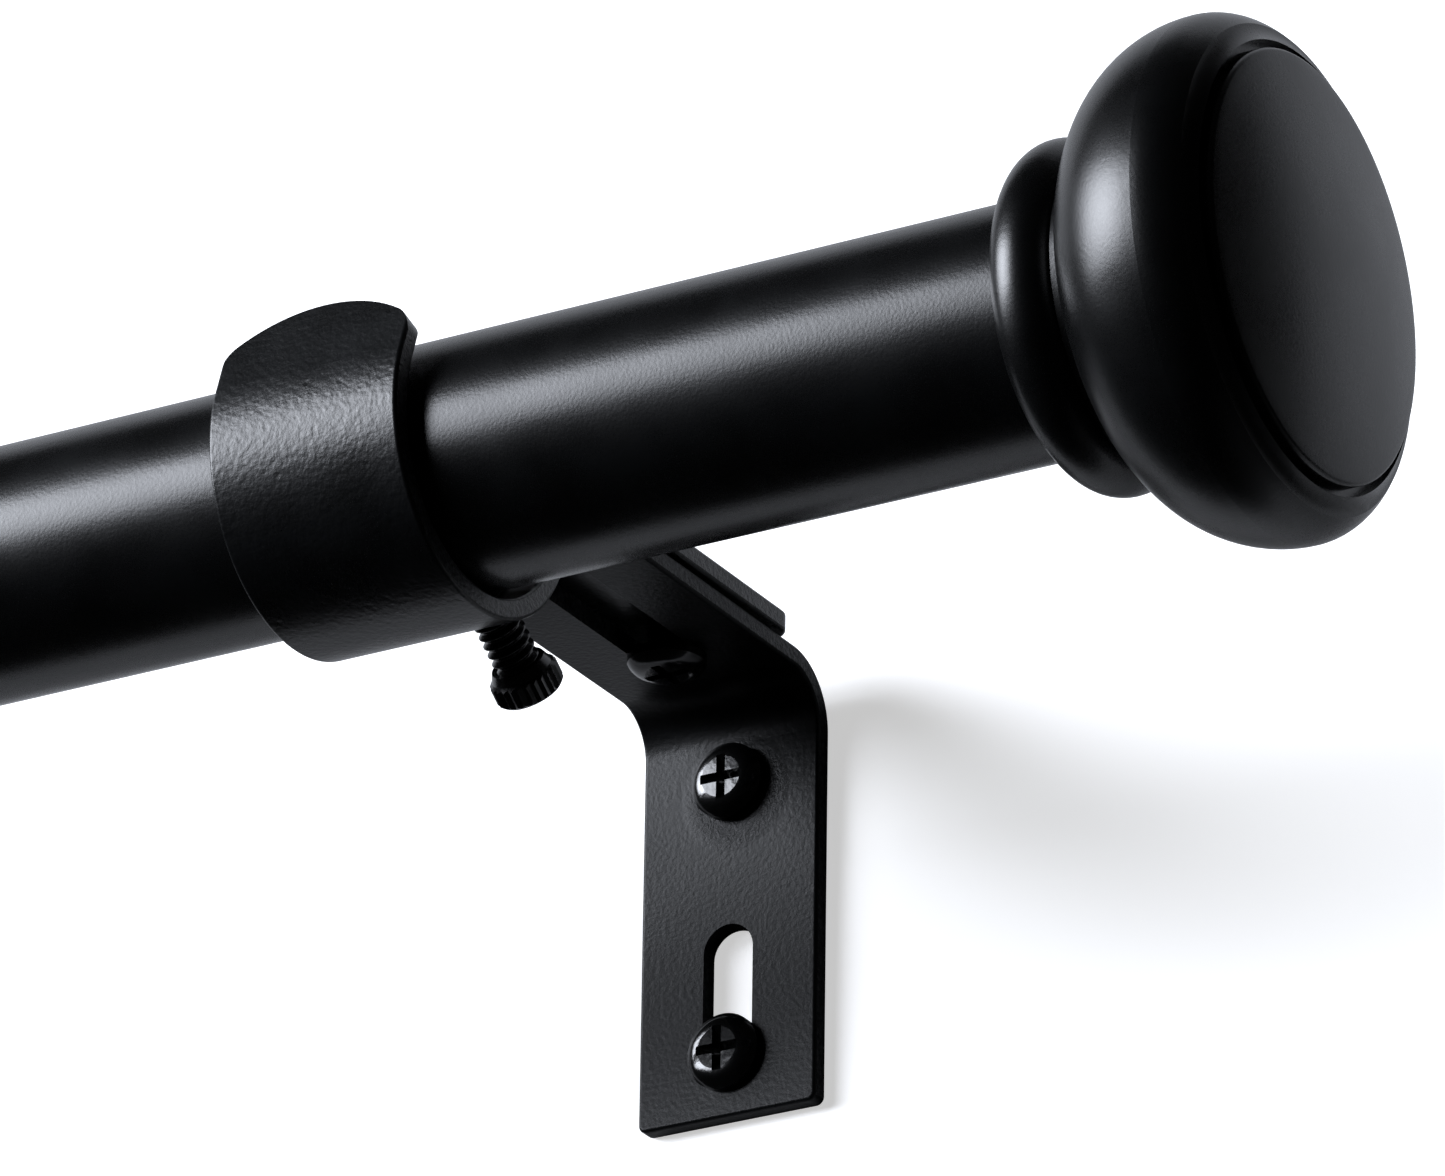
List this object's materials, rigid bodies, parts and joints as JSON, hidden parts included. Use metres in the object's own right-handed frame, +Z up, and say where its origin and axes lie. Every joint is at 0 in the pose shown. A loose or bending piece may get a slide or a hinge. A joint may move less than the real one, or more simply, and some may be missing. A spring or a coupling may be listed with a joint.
{
  "type": "curtain rod with brackets",
  "caption": "Telescoping curtain rod with turned end finials, carried in open J-hooks on slotted wall brackets that set its distance from the wall.",
  "frame": {"origin": "centre of the four wall screws, on the wall surface", "axes": "+X along the rod to the end of the larger tube, +Y into the wall, +Z up"},
  "size_m": [0.7606, 0.1209, 0.0688],
  "materials": {
    "steel_strip": "satin powder coat with a fine orange-peel grain",
    "screw_black": "gloss black",
    "thumb_black": "semi-gloss black, knurled",
    "tube_black": "satin powder coat",
    "plastic_black": "matte",
    "finial_black": "smooth satin",
    "zinc_screw": "bright zinc"
  },
  "bodies": {
    "wall_side": {"right_wall_plate": "steel_strip", "right_wall_screws": "screw_black", "left_wall_plate": "steel_strip", "left_wall_screws": "screw_black"},
    "right_holder": {"right_holder": "steel_strip", "right_clamp_screw": "screw_black"},
    "left_holder": {"left_holder": "steel_strip", "left_clamp_screw": "screw_black"},
    "outer_rod": {"outer_tube": "tube_black", "mouth_ring": "plastic_black", "right_end_plug": "plastic_black"},
    "inner_rod": {"inner_tube": "tube_black", "tube_glide": "plastic_black", "left_end_plug": "plastic_black"},
    "right_thumb_stem": {"right_thumb_stem": "thumb_black"},
    "right_thumb_knob": {"right_thumb_knob": "thumb_black"},
    "left_thumb_stem": {"left_thumb_stem": "thumb_black"},
    "left_thumb_knob": {"left_thumb_knob": "thumb_black"},
    "right_finial_screw": {"right_finial_screw": "zinc_screw"},
    "right_finial": {"right_finial_body": "finial_black", "right_finial_face": "finial_black"},
    "left_finial_screw": {"left_finial_screw": "zinc_screw"},
    "left_finial": {"left_finial_body": "finial_black", "left_finial_face": "finial_black"}
  },
  "joints": [
    {"name": "projection", "type": "slide", "parent": "wall_side", "child": "right_holder", "axis": [0, -1, 0], "range_m": [0, 0.0261]},
    {"name": "left_projection", "type": "slide", "parent": "wall_side", "child": "left_holder", "axis": [0, -1, 0], "range_m": [0, 0.0261]},
    {"name": "rod_lift", "type": "slide", "parent": "right_holder", "child": "outer_rod", "axis": [0, 0.2588, 0.9659], "range_m": [0, 0.04]},
    {"name": "telescope", "type": "slide", "parent": "outer_rod", "child": "inner_rod", "axis": [-1, 0, 0], "range_m": [-0.045, 0.38]},
    {"name": "right_thumb_travel", "type": "slide", "parent": "right_holder", "child": "right_thumb_stem", "axis": [0, 0.809, -0.5878], "range_m": [0, 0.00317]},
    {"name": "right_thumb_turn", "type": "hinge", "parent": "right_thumb_stem", "child": "right_thumb_knob", "pos_m": [0.2806, -0.0695, 0.0214], "axis": [0, 0.809, -0.5878], "range_deg": [0, 1080]},
    {"name": "left_thumb_travel", "type": "slide", "parent": "left_holder", "child": "left_thumb_stem", "axis": [0, 0.809, -0.5878], "range_m": [0, 0.00317]},
    {"name": "left_thumb_turn", "type": "hinge", "parent": "left_thumb_stem", "child": "left_thumb_knob", "pos_m": [-0.2718, -0.0695, 0.0214], "axis": [0, 0.809, -0.5878], "range_deg": [0, 1080]},
    {"name": "right_finial_travel", "type": "slide", "parent": "outer_rod", "child": "right_finial_screw", "axis": [1, 0, 0], "range_m": [0, 0.005]},
    {"name": "right_finial_turn", "type": "hinge", "parent": "right_finial_screw", "child": "right_finial", "pos_m": [0.3555, -0.0695, 0.0214], "axis": [1, 0, 0], "range_deg": [0, 1800]},
    {"name": "left_finial_travel", "type": "slide", "parent": "inner_rod", "child": "left_finial_screw", "axis": [-1, 0, 0], "range_m": [0, 0.005]},
    {"name": "left_finial_turn", "type": "hinge", "parent": "left_finial_screw", "child": "left_finial", "pos_m": [-0.3555, -0.0695, 0.0214], "axis": [-1, 0, 0], "range_deg": [0, 1800]}
  ],
  "couplings": [
    {"joint": "left_projection", "follows": "projection", "ratio": 1},
    {"joint": "right_thumb_turn", "follows": "right_thumb_travel", "rad_per_m": 5936.9},
    {"joint": "left_thumb_turn", "follows": "left_thumb_travel", "rad_per_m": 5936.9},
    {"joint": "right_finial_travel", "follows": "right_finial_turn", "m_per_rad": 0.00015915},
    {"joint": "left_finial_travel", "follows": "left_finial_turn", "m_per_rad": 0.00015915}
  ]
}
